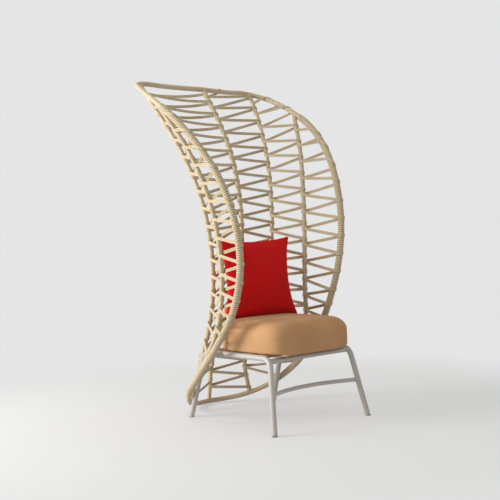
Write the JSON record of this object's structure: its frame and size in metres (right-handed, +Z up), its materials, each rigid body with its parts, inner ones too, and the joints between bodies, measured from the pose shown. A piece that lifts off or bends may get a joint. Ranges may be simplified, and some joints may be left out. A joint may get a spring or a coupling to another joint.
{
  "type": "high-backed pod chair",
  "caption": "Tall laced cane shell chair on a splayed bent steel tube base, with a crowned box seat cushion and a loose square throw pillow.",
  "frame": {"origin": "on the floor, under the middle of the chair's box", "axes": "+X to the right as seen from the front, +Y to the back, +Z up; the sitter faces -Y"},
  "size_m": [0.9247, 0.8884, 1.6748],
  "materials": {
    "frame": "satin warm grey powder coat",
    "glide": "matt light grey",
    "slat": "satin lacquer",
    "cane": "peeled and lacquered cane",
    "cord": "matt twisted cord",
    "seat_fabric": "matt tan weave",
    "pillow_fabric": "matt red weave"
  },
  "bodies": {
    "root": {"side_frame_left": "frame", "side_frame_right": "frame", "foot_glide_front_left": "glide", "foot_glide_rear_left": "glide", "foot_glide_front_right": "glide", "foot_glide_rear_right": "glide", "front_rail": "frame", "rear_rail": "frame", "front_stretcher": "frame", "seat_slat_1": "slat", "seat_slat_2": "slat", "seat_slat_3": "slat", "seat_slat_4": "slat", "seat_slat_5": "slat", "rim_pole": "cane", "rim_wrap_left": "cord", "rim_wrap_right": "cord", "spine_rib": "cane", "inner_left_rib": "cane", "inner_right_rib": "cane", "outer_left_rib": "cane", "outer_right_rib": "cane", "shell_spacer_left": "frame", "shell_spacer_right": "frame", "leg_clip_left": "frame", "leg_clip_right": "frame", "lacing_side_left": "cord", "lacing_middle_left": "cord", "lacing_back_left": "cord", "lacing_back_right": "cord", "lacing_middle_right": "cord", "lacing_side_right": "cord", "seat_cushion": "seat_fabric", "throw_pillow": "pillow_fabric"}
  },
  "joints": []
}
